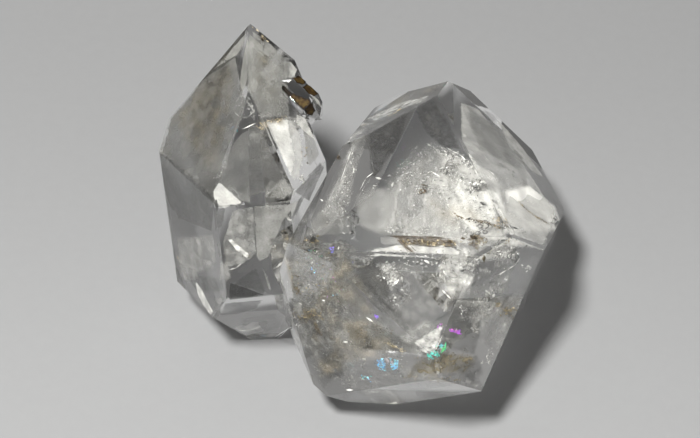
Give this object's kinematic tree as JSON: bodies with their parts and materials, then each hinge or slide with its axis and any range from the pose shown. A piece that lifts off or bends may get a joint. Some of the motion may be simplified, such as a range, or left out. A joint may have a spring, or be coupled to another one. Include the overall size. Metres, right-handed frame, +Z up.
{
  "type": "herkimer diamond",
  "caption": "Clear doubly terminated quartz crystals grown through each other, with iron stain, veils and a small side crystal; rests on small flat spots.",
  "frame": {"origin": "on the resting surface, under the middle of the part's box", "axes": "+Z up from the resting surface; +X from the left, slimmer crystal towards the right, broader one; +Y to the back"},
  "size_m": [0.028, 0.024, 0.0209],
  "materials": {
    "quartz": "clear colourless quartz with bright natural faces",
    "veil": "healed fractures and veils inside the quartz, sparkling white",
    "iron_stain": "golden brown iron stain and clay, dull and grainy"
  },
  "bodies": {
    "root": {"quartz_crystals": "quartz"}
  },
  "joints": []
}
